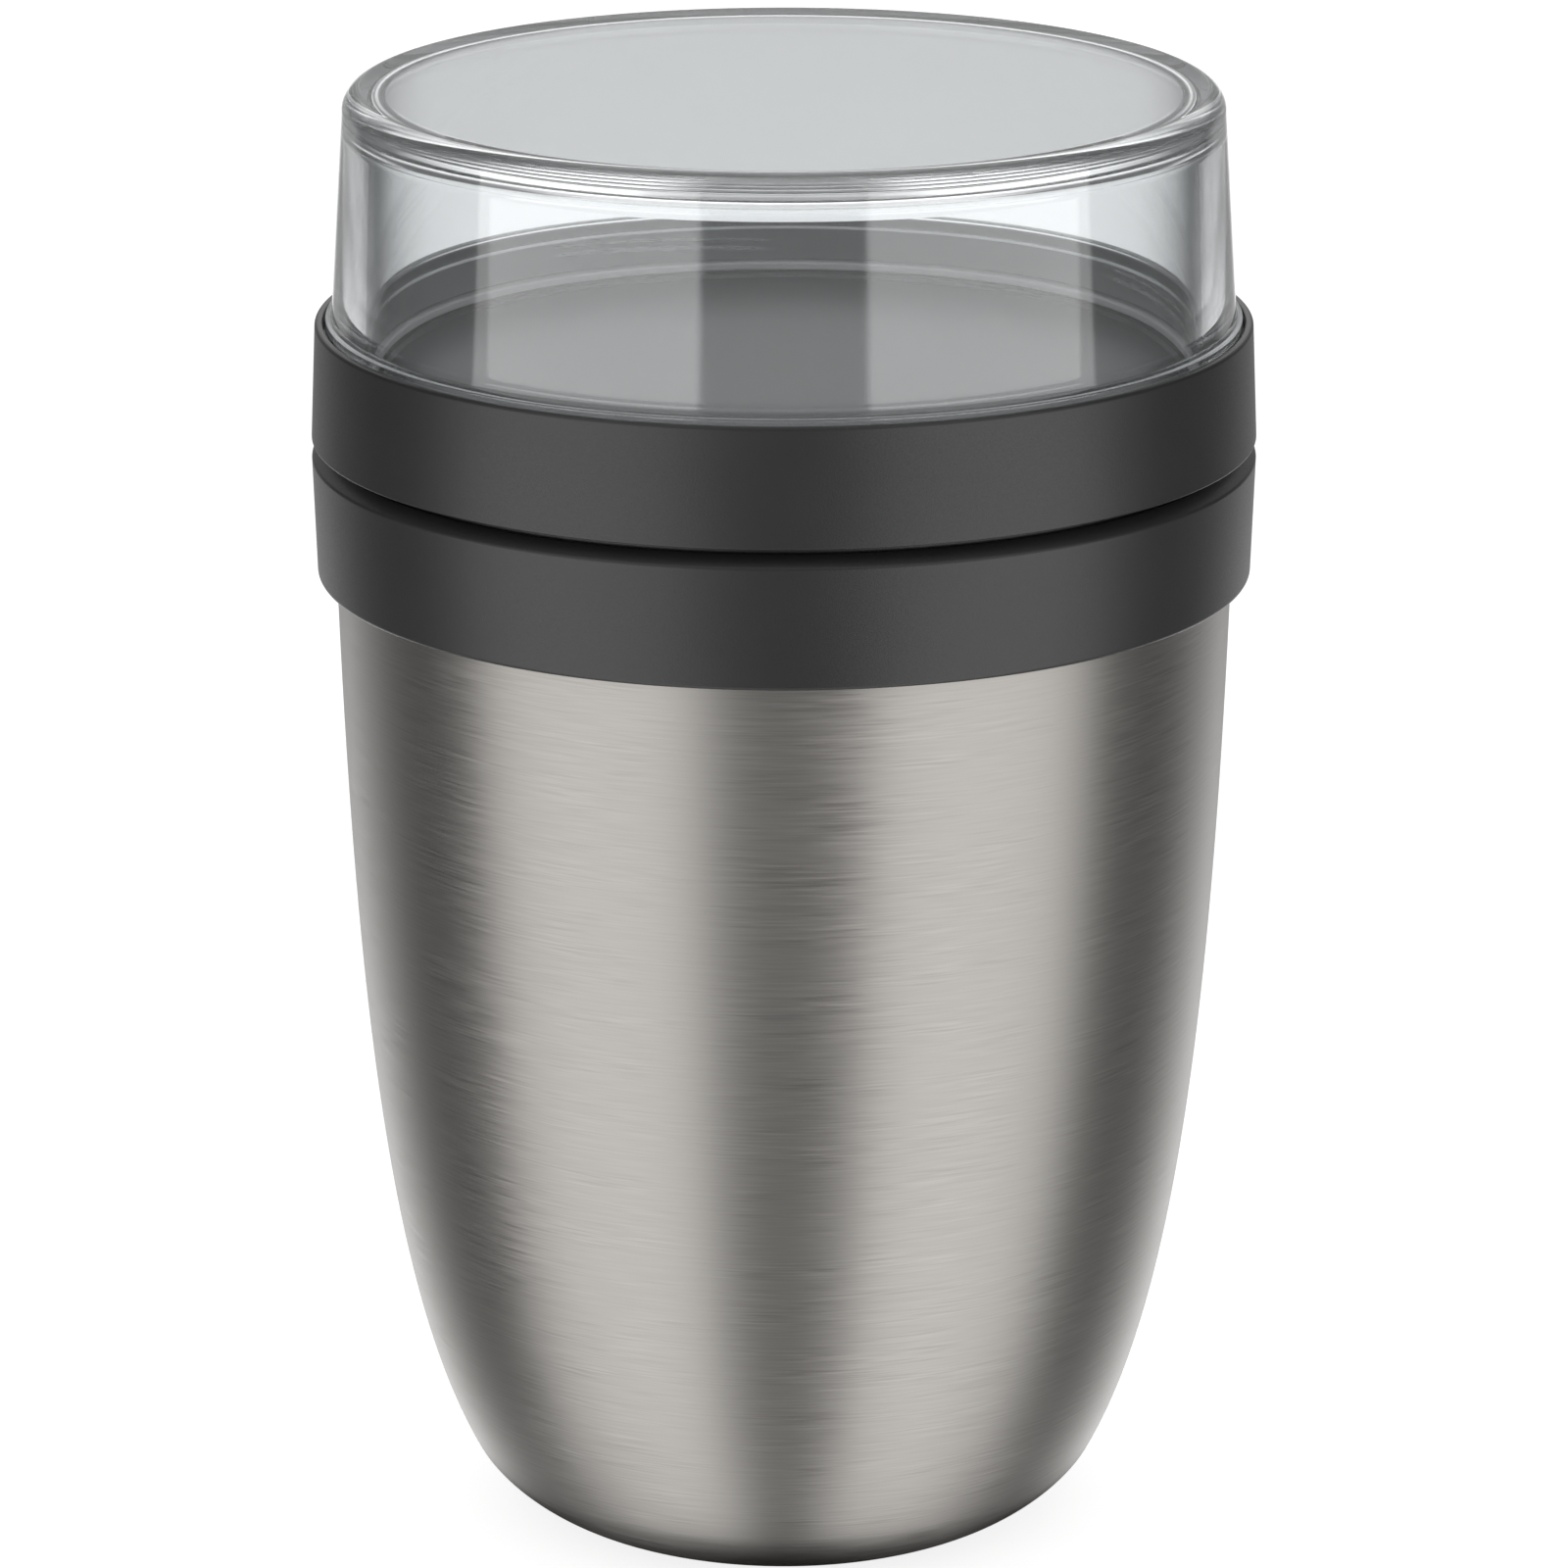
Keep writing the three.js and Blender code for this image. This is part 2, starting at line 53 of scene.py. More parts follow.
# Fineness of the turned meshes
SEGMENTS = 256
FILLET_STEP = math.radians(4.5)
FILLET_STEPS_LEAST = 4
HOLD = 0.06
SAME_PLACE = 0.001
THREAD_ROW = 0.15
FOOT_STEPS = 24
SIDE_STEPS = 64
CORNER_STEPS = 16
SHARP_ANGLE = math.radians(32)

# Clearances
FIT = 0.3
WELD_GAP = 0.2
PLUG_CLEARANCE = 0.8
THREAD_CLEARANCE = 0.4
THREAD_MARGIN = 0.2

# The two dark rings
RING_RADIUS = 53.5
COLLAR_HEIGHT = 13.6
COLLAR_TAPER = 0.44
GROOVE_HEIGHT = 2.1
GROOVE_DEPTH = 2.1
LID_HEIGHT = 13.3
LID_TAPER = 0.58
RING_FILLET = 0.5
LIP_RISE = 1.5
EDGE_FILLET = 0.2

# Steel outer shell
SHELL_WALL = 0.6
FOOT_RADIUS = 24
FOOT_WIDTH = 2.4
FOOT_LIP = 2.6
FOOT_BEND = 0.8
FOOT_REACH = 5.5
KNEE_RADIUS = 36.6
KNEE_HEIGHT = 7.8
KNEE_SLOPE = math.radians(62)
KNEE_REACH_BELOW = 3.4
KNEE_REACH_ABOVE = 22
SIDE_REACH = 47
SIDE_LEAN = math.radians(1.4)
SHELL_HEIGHT = 115
SHOULDER_HEIGHT = 4
RING_OVERHANG = 2.5

# Inner liner
LINER_WALL = 0.6
VACUUM_GAP = 6
NECK_GAP = 1.1
LINER_CORNER = 6
LINER_BOTTOM = 8.5
LINER_SIDE_START = 20
CORNER_PULL = 2 / 3

# Base cover
COVER_RECESS = 0.4
COVER_WALL = 0.6

# Collar
COLLAR_LAP = 2.4
COLLAR_WEB = 1.8
SLEEVE_WALL = 1.3
COLLAR_SEAL_THICKNESS = 1.5

# Screw threads
THREAD_STARTS = 4
THREAD_PITCH = 3
THREAD_DEPTH = 0.8
THREAD_ROOT = 1.5
THREAD_CREST = 0.7
THREAD_ARC = math.radians(37.5)
THREAD_END_SHARE = 0.2

# Lid ring
SKIRT_WALL = 1.3
FLOOR_DEPTH = 7.2
FLOOR_WALL = 1.8
LEDGE_STEP = 0.5
LEDGE_WALL = 1.6
RIM_WIDTH = 0.92
SEAT_DEPTH = 1.6
SEAT_STEP = 1.5
LID_GASKET_THICKNESS = 1.4
LID_GASKET_FILLET = 0.45

# Lid plug
PLUG_DEPTH = 10.8
PLUG_WALL = 1.8
PLUG_FILLET = 2.5
RIB_WALL = 1.2
RIB_DEPTH = 3

# Clear cup
CUP_RISE = 26.3
CUP_TAPER = 1.7
CUP_WALL = 3.45
CUP_WALL_ABOVE = 3.15
CUP_TOP_WALL = 3.4
CUP_FILLET = 2.2
CUP_INNER_FILLET = 2.1
CUP_RIM_FILLET = 0.5
FLANGE_STEP = 0.68
FLANGE_HEIGHT = 1.8
FLANGE_FILLET = 0.3
FLARE_WIDTH = 0.35
FLARE_HEIGHT = 0.8
FLARE_STEPS = 8
CUP_GASKET_THICKNESS = 1
CUP_GASKET_INSET = 0.5
CUP_GASKET_FILLET = 0.25

# Places of the cup's finishes in its list of materials, one of them painted edge shade, and the slopes
# of the faces that take them
FROSTED, SATIN, EDGE_SHADED = 1, 2, 3
UNDERSIDE = -0.9
INWARD = -0.5

# Heights that follow
collar_bottom = SHELL_HEIGHT - COLLAR_LAP
collar_top = collar_bottom + COLLAR_HEIGHT
lid_bottom = collar_top + GROOVE_HEIGHT
lid_top = lid_bottom + LID_HEIGHT
skirt_bottom = collar_top + FIT
floor_top = lid_top - FLOOR_DEPTH
floor_under = floor_top - FLOOR_WALL
ledge = floor_top + LEDGE_STEP
ledge_under = ledge - LEDGE_WALL
lid_gasket_top = ledge_under - FIT
lid_gasket_bottom = lid_gasket_top - LID_GASKET_THICKNESS
mouth = lid_gasket_bottom - FIT
shoulder_top = SHELL_HEIGHT + SHOULDER_HEIGHT
shell_top = mouth - LINER_WALL - WELD_GAP
sleeve_bottom = shoulder_top + 2 * FIT + COLLAR_SEAL_THICKNESS
plug_top = floor_under - FIT
plug_bottom = plug_top - PLUG_DEPTH
cover_top = COVER_RECESS + COVER_WALL
seat_floor = lid_top - SEAT_DEPTH
flange_bottom = seat_floor + FIT
flange_top = flange_bottom + FLANGE_HEIGHT
cup_gasket_bottom = ledge + FIT
cup_gasket_top = cup_gasket_bottom + CUP_GASKET_THICKNESS
cup_rim = cup_gasket_top + FIT
cup_top = lid_top + CUP_RISE
cup_ceiling = cup_top - CUP_TOP_WALL

# Radii that follow, from the dark rings inwards
shell_radius = RING_RADIUS - RING_OVERHANG
skirt_outer = RING_RADIUS - GROOVE_DEPTH
skirt_inner = skirt_outer - SKIRT_WALL
neck_crest = skirt_inner - THREAD_CLEARANCE
sleeve_outer = neck_crest - THREAD_DEPTH
sleeve_inner = sleeve_outer - SLEEVE_WALL
neck_outer = sleeve_inner - FIT
liner_neck_outer = neck_outer - SHELL_WALL - NECK_GAP
liner_neck_inner = liner_neck_outer - LINER_WALL
plug_outer = liner_neck_inner - PLUG_CLEARANCE
plug_inner = plug_outer - PLUG_WALL
rib_outer = plug_inner - FIT
rib_inner = rib_outer - RIB_WALL
foot_inner = FOOT_RADIUS - FOOT_WIDTH
lid_top_radius = RING_RADIUS - LID_TAPER
seat_radius = lid_top_radius - RIM_WIDTH
cup_bore = seat_radius - SEAT_STEP
cup_crest = cup_bore - THREAD_CLEARANCE
cup_neck_outer = cup_crest - THREAD_DEPTH
flange_radius = seat_radius - FIT
cup_foot_radius = flange_radius - FLANGE_STEP
cup_top_radius = cup_foot_radius - CUP_TAPER
cup_inner = cup_foot_radius - CUP_WALL
cup_lean = CUP_TAPER / (cup_top - flange_top)
cup_ceiling_radius = cup_foot_radius - cup_lean * (cup_ceiling - flange_top) - CUP_WALL_ABOVE
cup_gasket_inner = cup_inner - CUP_GASKET_INSET
ledge_inner = cup_gasket_inner - FIT

# Thread helix
thread_rise = THREAD_STARTS * THREAD_PITCH * THREAD_ARC / (2 * math.pi)
thread_half_height = (thread_rise + THREAD_ROOT) / 2
neck_thread = mouth - THREAD_MARGIN - thread_half_height
cup_thread = flange_bottom - THREAD_MARGIN - thread_half_height


# Outlines are lists of (radius, height), anticlockwise round the material

def bezier(start, start_handle, end_handle, end, steps):
    t = np.linspace(0, 1, steps + 1)[:, None]
    a, b, c, d = (np.array(p, float) for p in (start, start_handle, end_handle, end))
    points = (1 - t) ** 3 * a + 3 * (1 - t) ** 2 * t * b + 3 * (1 - t) * t**2 * c + t**3 * d
    return [tuple(p) for p in points]


def inset(path, distance):
    """The path moved towards the axis where it climbs, and upwards where it runs outwards."""
    steps = [Vector(b) - Vector(a) for a, b in zip(path, path[1:])]
    normals = [Vector((-s.y, s.x)).normalized() for s in steps]
    moved = []
    for i, point in enumerate(path):
        before = normals[max(i - 1, 0)]
        after = normals[min(i, len(normals) - 1)]
        moved.append(tuple(Vector(point) + (before + after) * (distance / (1 + before.dot(after)))))
    return moved


def rounded(corners):
    """Replaces each corner that has a third number by an arc of that radius, limited by its walls.

    A point just before and just after each arc keeps the shading of the walls flat.
    """
    points = []
    for i, (r, z, *fillet) in enumerate(corners):
        corner = Vector((r, z))
        if not fillet:
            points.append((r, z))
            continue
        before = Vector(corners[i - 1][:2]) - corner
        after = Vector(corners[(i + 1) % len(corners)][:2]) - corner
        half = before.angle(after) / 2
        setback = min(fillet[0] / math.tan(half), before.length / 2, after.length / 2)
        radius = setback * math.tan(half)
        into = (before.normalized() + after.normalized()).normalized()
        centre = corner + into * (radius / math.sin(half))
        start = corner + before.normalized() * setback - centre
        end = corner + after.normalized() * setback - centre
        if setback + HOLD < before.length / 2:
            points.append(tuple(corner + before.normalized() * (setback + HOLD)))
        turn = math.atan2(start.x * end.y - start.y * end.x, start.dot(end))
        steps = max(FILLET_STEPS_LEAST, math.ceil(abs(turn) / FILLET_STEP))
        for step in range(steps + 1):
            angle = turn * step / steps
            x = start.x * math.cos(angle) - start.y * math.sin(angle)
            y = start.x * math.sin(angle) + start.y * math.cos(angle)
            points.append((centre.x + x, centre.y + y))
        if setback + HOLD < after.length / 2:
            points.append(tuple(corner + after.normalized() * (setback + HOLD)))
    return points


def threaded_wall(radius, start, end):
    """Rows up or down a round wall, close enough together to carry a thread."""
    rows = math.ceil(abs(end - start) / THREAD_ROW)
    return [(radius, start + (end - start) * row / rows) for row in range(rows + 1)]


def thread_height(angles, z, middle):
    """How far a thread's ridges stand out of their wall at a height. Their ends run out smoothly."""
    along = np.mod(angles, 2 * math.pi / THREAD_STARTS) / THREAD_ARC
    to_end = np.clip(np.minimum(along, 1 - along) / THREAD_END_SHARE, 0, 1)
    run_out = to_end**2 * (3 - 2 * to_end)
    offset = np.abs(z - middle - thread_rise * (along - 0.5))
    flank = np.clip((THREAD_ROOT / 2 - offset) / ((THREAD_ROOT - THREAD_CREST) / 2), 0, 1)
    return THREAD_DEPTH * run_out * flank


def lathe(name, corners, threads=()):
    """Turns an outline round the Z axis.

    Each thread is (radius of its wall, +1 outwards or -1 inwards, height of its middle).
    """
    outline = rounded(corners)
    angles = np.arange(SEGMENTS) * 2 * math.pi / SEGMENTS
    vertices = []
    rings = []
    for r, z in outline:
        if r < SAME_PLACE:
            rings.append([len(vertices)] * SEGMENTS)
            vertices.append((0, 0, z * MM))
            continue
        radii = np.full(SEGMENTS, r)
        for wall_radius, side, middle in threads:
            if abs(r - wall_radius) < SAME_PLACE and abs(z - middle) < thread_half_height:
                radii = radii + side * thread_height(angles, z, middle)
        rings.append(range(len(vertices), len(vertices) + SEGMENTS))
        x = radii * np.cos(angles) * MM
        y = radii * np.sin(angles) * MM
        vertices += zip(x, y, np.full(SEGMENTS, z * MM))
    if outline[0][0] > SAME_PLACE:
        rings.append(rings[0])
    faces = []
    for low, high in zip(rings, rings[1:]):
        for here in range(SEGMENTS):
            there = (here + 1) % SEGMENTS
            face = list(dict.fromkeys((low[here], low[there], high[there], high[here])))
            if len(face) > 2:
                faces.append(face)
    mesh = bpy.data.meshes.new(name)
    mesh.from_pydata(vertices, [], faces)
    mesh.shade_smooth()
    mesh.set_sharp_from_angle(angle=SHARP_ANGLE)
    piece = bpy.data.objects.new(name, mesh)
    bpy.context.scene.collection.objects.link(piece)
    return piece


class Nodes:
    """Short calls that add and link the nodes of one shader tree."""

    def __init__(self, tree):
        self.tree = tree
        tree.nodes.clear()

    def feed(self, socket, value):
        if isinstance(value, bpy.types.NodeSocket):
            self.tree.links.new(value, socket)
        else:
            socket.default_value = value

    def add(self, kind, inputs, **settings):
        node = self.tree.nodes.new("ShaderNode" + kind)
        for name, value in settings.items():
            setattr(node, name, value)
        for key, value in inputs.items():
            self.feed(node.inputs[key], value)
        return node

    def maths(self, operation, *values):
        return self.add("Math", dict(enumerate(values)), operation=operation).outputs[0]

    def vectors(self, operation, *values):
        return self.add("VectorMath", dict(enumerate(values)), operation=operation).outputs[0]

    def mixed(self, factor, first, second):
        return self.add("Mix", {0: factor, 6: first, 7: second}, data_type="RGBA").outputs[2]

    def span(self, value, low, high, start=0.0, end=1.0, smooth=False):
        """Maps start..end to low..high, and holds it there outside."""
        inputs = {"Value": value, "From Min": start, "From Max": end, "To Min": low, "To Max": high}
        kind = "SMOOTHSTEP" if smooth else "LINEAR"
        return self.add("MapRange", inputs, interpolation_type=kind).outputs["Result"]

    def place(self):
        return self.add("TexCoord", {}).outputs["Object"]

    def grain(self, scale, detail=2.0):
        """Even noise, with features of about 1 / scale metres."""
        inputs = {"Vector": self.place(), "Scale": scale, "Detail": detail}
        return self.add("TexNoise", inputs).outputs["Fac"]

    def turned_grain(self, along, across, detail=2.0):
        """Noise drawn out round the axis, as brushing or turning leaves it."""
        xyz = self.add("SeparateXYZ", {0: self.place()}).outputs
        flat = self.add("CombineXYZ", {0: xyz[0], 1: xyz[1]}).outputs[0]
        radius = self.add("VectorMath", {0: flat}, operation="LENGTH").outputs["Value"]
        height = self.maths("MULTIPLY", self.maths("ADD", xyz[2], radius), across / along)
        drawn = self.add("CombineXYZ", {0: xyz[0], 1: xyz[1], 2: height}).outputs[0]
        inputs = {"Vector": drawn, "Scale": along, "Detail": detail}
        return self.add("TexNoise", inputs).outputs["Fac"]

    def bump(self, height, strength, distance):
        inputs = {"Height": height, "Strength": strength, "Distance": distance}
        return self.add("Bump", inputs).outputs[0]

    def finish(self, **inputs):
        named = {key.replace("_", " "): value for key, value in inputs.items()}
        shader = self.add("BsdfPrincipled", named)
        self.add("OutputMaterial", {"Surface": shader.outputs[0]})


def new_material(name):
    material = bpy.data.materials.new(name)
    material.use_nodes = True
    return material, Nodes(material.node_tree)


# Finishes: the usual range of a noise, how patchy brushing is, and how the clear plastic takes light
NOISE_RANGE = (0.3, 0.7)
NOISE_MIDDLE = 0.5
PATCH_RANGE = (0.4, 0.65)
PATCH_CONTRAST = (0.8, 2.4)
PATCH_LENGTH = 2
PATCH_HEIGHT = 8
ACROSS_BRUSHING = 0.25
BROADER = 40
RELIEF_SHARE = 0.5
CLEAR = (0.97, 0.99, 1.0, 1)
CLEAR_INDEX = 1.6
CLEAR_UNEVENNESS = 90
# Painted shade: a dark colour that the clear plastic's inner wall takes where it is seen edge-on
EDGE_SHADE_COLOUR = (0.028, 0.031, 0.034, 1)
EDGE_BLEND = 0.5
EDGE_RANGE = (0.45, 0.8)


def metal(name, dark, light, rough, along, across, anisotropy, tilt):
    """Metal with a finish drawn round the axis: streaks in its colour, its gloss and its lie."""
    material, nodes = new_material(name)
    fine = nodes.turned_grain(along, across, detail=1.0)
    broad = nodes.turned_grain(along / PATCH_LENGTH, across / PATCH_HEIGHT)
    patches = nodes.span(broad, *PATCH_CONTRAST, *PATCH_RANGE)
    streaks = nodes.maths("SUBTRACT", fine, NOISE_MIDDLE)
    share = nodes.maths("MULTIPLY_ADD", streaks, patches, NOISE_MIDDLE)
    tangent = nodes.add("Tangent", {}, direction_type="RADIAL", axis="Z").outputs[0]
    normal = nodes.add("NewGeometry", {}).outputs["Normal"]
    scaled = {0: tangent, "Scale": nodes.span(share, -tilt, tilt)}
    lean = nodes.add("VectorMath", scaled, operation="SCALE").outputs[0]
    nodes.finish(
        Base_Color=nodes.mixed(share, (*dark, 1), (*light, 1)),
        Metallic=1.0,
        Roughness=nodes.span(share, *rough),
        Anisotropic=anisotropy,
        Anisotropic_Rotation=ACROSS_BRUSHING,
        Tangent=tangent,
        Normal=nodes.vectors("NORMALIZE", nodes.vectors("ADD", normal, lean)),
    )
    return material


def moulded(name, dark, light, rough, grain, relief, specular=0.5):
    """Matte plastic or rubber: a fine even grain, and a little unevenness in colour and gloss."""
    material, nodes = new_material(name)
    fine = nodes.grain(grain, detail=3.0)
    broad = nodes.grain(grain / BROADER)
    nodes.finish(
        Base_Color=nodes.mixed(nodes.span(broad, 0, 1, *NOISE_RANGE), (*dark, 1), (*light, 1)),
        Roughness=nodes.span(fine, *rough, *NOISE_RANGE),
        Specular_IOR_Level=specular,
        Normal=nodes.bump(fine, relief, RELIEF_SHARE / grain),
    )
    return material


def clear_plastic(name, rough, clearness, edge_shaded=False):
    """Where it is edge-shaded, painted shade darkens its colour where its surface is seen from the
    side.
    """
    material, nodes = new_material(name)
    colour = CLEAR
    if edge_shaded:
        # Painted shade: the colour goes dark where the surface is seen edge-on
        facing = nodes.add("LayerWeight", {"Blend": EDGE_BLEND}).outputs["Facing"]
        colour = nodes.mixed(nodes.span(facing, 0, 1, *EDGE_RANGE, smooth=True), CLEAR, EDGE_SHADE_COLOUR)
    nodes.finish(
        Base_Color=colour,
        Roughness=nodes.span(nodes.grain(CLEAR_UNEVENNESS), *rough, *NOISE_RANGE),
        IOR=CLEAR_INDEX,
        Transmission_Weight=clearness,
    )
    return material


steel = metal(
    "brushed_steel", dark=(0.277, 0.266, 0.252), light=(0.371, 0.356, 0.337), rough=(0.38, 0.46),
    along=150, across=4200, anisotropy=0.7, tilt=0.012,
)
liner_steel = metal(
    "liner_steel", dark=(0.52, 0.515, 0.5), light=(0.58, 0.575, 0.56), rough=(0.26, 0.34),
    along=120, across=2600, anisotropy=0.5, tilt=0.015,
)
copper = metal(
    "copper_foil", dark=(0.66, 0.34, 0.2), light=(0.74, 0.42, 0.26), rough=(0.18, 0.3),
    along=150, across=900, anisotropy=0.3, tilt=0.02,
)
dark_plastic = moulded(
    "dark_plastic", dark=(0.0137, 0.0137, 0.014), light=(0.0165, 0.0165, 0.0168), rough=(0.36, 0.44),
    grain=4500, relief=0.12, specular=0.55,
)
silicone = moulded(
    "silicone", dark=(0.2, 0.21, 0.21), light=(0.24, 0.25, 0.25), rough=(0.5, 0.6),
    grain=3000, relief=0.08,
)
pale_silicone = moulded(
    "pale_silicone", dark=(0.5, 0.5, 0.5), light=(0.56, 0.56, 0.56), rough=(0.5, 0.6),
    grain=3000, relief=0.08,
)
foam = moulded(
    "foam", dark=(0.7, 0.67, 0.6), light=(0.82, 0.79, 0.72), rough=(0.85, 0.95),
    grain=1500, relief=0.5,
)
getter_alloy = moulded(
    "getter_alloy", dark=(0.08, 0.08, 0.08), light=(0.15, 0.15, 0.15), rough=(0.6, 0.75),
    grain=6000, relief=0.4,
)
solder = moulded(
    "solder", dark=(0.4, 0.41, 0.42), light=(0.48, 0.49, 0.5), rough=(0.22, 0.32),
    grain=900, relief=0.1,
)
clear = clear_plastic("clear_plastic", rough=(0.0, 0.02), clearness=0.96)
frosted = clear_plastic("frosted_plastic", rough=(0.3, 0.4), clearness=0.08)
satin = clear_plastic("satin_plastic", rough=(0.65, 0.75), clearness=0.94)
edge_shaded_clear = clear_plastic("edge_shaded_plastic", rough=(0.0, 0.02), clearness=0.96, edge_shaded=True)


def shell_side():
    def along_knee(reach):
        return (KNEE_RADIUS + reach * math.cos(KNEE_SLOPE), KNEE_HEIGHT + reach * math.sin(KNEE_SLOPE))

    foot = bezier(
        (FOOT_RADIUS, 0), (FOOT_RADIUS + FOOT_REACH, 0),
        along_knee(-KNEE_REACH_BELOW), along_knee(0),
        FOOT_STEPS,
    )
    lean = math.tan(SIDE_LEAN) * SIDE_REACH
    side = bezier(
        along_knee(0), along_knee(KNEE_REACH_ABOVE),
        (shell_radius - lean, SHELL_HEIGHT - SIDE_REACH), (shell_radius, SHELL_HEIGHT),
        SIDE_STEPS,
    )
    return foot[:-1] + side


def outer_shell():
    outside = rounded([
        (foot_inner, FOOT_LIP),
        (foot_inner, 0, FOOT_BEND),
        *shell_side(),
        (neck_outer, shoulder_top),
        (neck_outer, shell_top),
    ])
    return lathe("outer_shell_fine", outside + inset(outside, SHELL_WALL)[::-1])


def inner_liner():
    side = [p for p in inset(shell_side(), SHELL_WALL + VACUUM_GAP) if p[1] > LINER_SIDE_START]
    low, following = side[:2]
    slope = (following[0] - low[0]) / (following[1] - low[1])
    knee = Vector((low[0] - (low[1] - LINER_BOTTOM) * slope, LINER_BOTTOM))
    start = Vector((knee.x - LINER_CORNER, LINER_BOTTOM))
    start_handle = start.lerp(knee, CORNER_PULL)
    end_handle = Vector(low).lerp(knee, CORNER_PULL)
    corner = bezier(start, start_handle, end_handle, low, CORNER_STEPS)
    outside = [
        (0, LINER_BOTTOM),
        *corner[:-1],
        *side,
        (liner_neck_outer, shoulder_top),
        (liner_neck_outer, mouth),
    ]
    lip = [
        (liner_neck_outer, mouth - LINER_WALL),
        (neck_outer, mouth - LINER_WALL),
        (neck_outer, mouth, EDGE_FILLET),
    ]
    return lathe("inner_liner_fine", outside[:-1] + lip + inset(outside, LINER_WALL)[::-1])


def base_cover():
    edge = foot_inner - WELD_GAP
    corners = [
        (0, COVER_RECESS),
        (edge, COVER_RECESS, COVER_WALL / 2),
        (edge, cover_top),
        (0, cover_top),
    ]
    return lathe("base_cover_fine", corners)


def neck_collar():
    skirt = shell_radius + FIT
    web_under = collar_top - COLLAR_WEB
    corners = [
        (RING_RADIUS - COLLAR_TAPER, collar_bottom, RING_FILLET),
        (RING_RADIUS, collar_top, RING_FILLET),
        (skirt_outer + FIT, collar_top + LIP_RISE, EDGE_FILLET),
        (skirt_outer + FIT, collar_top),
        *threaded_wall(sleeve_outer, collar_top, mouth),
        (sleeve_inner, mouth, EDGE_FILLET),
        (sleeve_inner, sleeve_bottom),
        (sleeve_outer, sleeve_bottom),
        (sleeve_outer, web_under),
        (skirt, web_under),
        (skirt, collar_bottom, EDGE_FILLET),
    ]
    return lathe("neck_collar_fine", corners, [(sleeve_outer, 1, neck_thread)])


def lid_ring():
    corners = [
        (0, floor_under),
        (rib_inner, floor_under),
        (rib_inner, floor_under - RIB_DEPTH),
        (rib_outer, floor_under - RIB_DEPTH),
        (rib_outer, floor_under),
        (plug_outer, floor_under),
        (plug_outer, ledge_under),
        *threaded_wall(skirt_inner, ledge_under, skirt_bottom),
        (skirt_outer, skirt_bottom, EDGE_FILLET),
        (skirt_outer, lid_bottom),
        (RING_RADIUS, lid_bottom, EDGE_FILLET),
        (lid_top_radius, lid_top, RING_FILLET),
        (seat_radius, lid_top, EDGE_FILLET),
        (seat_radius, seat_floor),
        *threaded_wall(cup_bore, seat_floor, ledge),
        (ledge_inner, ledge, EDGE_FILLET),
        (ledge_inner - LEDGE_STEP, floor_top, EDGE_FILLET),
        (0, floor_top),
    ]
    threads = [
        (skirt_inner, -1, neck_thread - THREAD_PITCH / 2),
        (cup_bore, -1, cup_thread - THREAD_PITCH / 2),
    ]
    return lathe("lid_ring_fine", corners, threads)


def lid_plug():
    corners = [
        (0, plug_bottom),
        (plug_outer, plug_bottom, PLUG_FILLET),
        (plug_outer, plug_top),
        (plug_inner, plug_top),
        (plug_inner, plug_bottom + PLUG_WALL),
        (0, plug_bottom + PLUG_WALL),
    ]
    return lathe("lid_plug_fine", corners)


def lid_gasket():
    inner = plug_outer + FIT
    corners = [
        (inner, lid_gasket_bottom, LID_GASKET_FILLET),
        (sleeve_outer, lid_gasket_bottom, LID_GASKET_FILLET),
        (sleeve_outer, lid_gasket_top),
        (inner, lid_gasket_top),
    ]
    return lathe("lid_gasket_fine", corners)


def cup_gasket():
    corners = [
        (cup_gasket_inner, cup_gasket_bottom, CUP_GASKET_FILLET),
        (cup_neck_outer, cup_gasket_bottom),
        (cup_neck_outer, cup_gasket_top),
        (cup_gasket_inner, cup_gasket_top, CUP_GASKET_FILLET),
    ]
    return lathe("cup_gasket_fine", corners)


def cup_flare():
    """Hollow bend from the flange's top up into the wall."""
    lean = cup_lean * FLARE_HEIGHT
    wall = cup_foot_radius - lean
    points = []
    for step in range(FLARE_STEPS + 1):
        turn = math.pi / 2 * step / FLARE_STEPS
        out = (FLARE_WIDTH + lean) * (1 - math.sin(turn))
        up = FLARE_HEIGHT * (1 - math.cos(turn))
        points.append((wall + out, flange_top + up))
    points.append((wall - cup_lean * HOLD, flange_top + FLARE_HEIGHT + HOLD))
    return points


def clear_cup():
    """Its undersides are frosted, its threaded neck is satin and its inner wall has painted shade where
    it is seen edge-on.
    """
    corners = [
        (0, cup_ceiling),
        (cup_ceiling_radius, cup_ceiling, CUP_INNER_FILLET),
        (cup_inner, flange_top),
        (cup_inner, cup_rim, CUP_RIM_FILLET),
        *threaded_wall(cup_neck_outer, cup_rim, flange_bottom),
        (flange_radius, flange_bottom, EDGE_FILLET),
        (flange_radius, flange_top, FLANGE_FILLET),
        *cup_flare(),
        (cup_top_radius, cup_top, CUP_FILLET),
        (0, cup_top),
    ]
    cup = lathe("clear_cup_fine", corners, [(cup_neck_outer, 1, cup_thread)])
    for face in cup.data.polygons:
        radius = face.center.xy.length
        # Inner-wall faces take the painted edge shade
        if face.normal.xy.dot(face.center.xy) < INWARD * radius:
            face.material_index = EDGE_SHADED
        elif face.center.z < (flange_bottom + HOLD) * MM:
            if face.normal.z < UNDERSIDE:
                face.material_index = FROSTED
            elif radius > (cup_neck_outer - HOLD) * MM:
                face.material_index = SATIN
    return cup


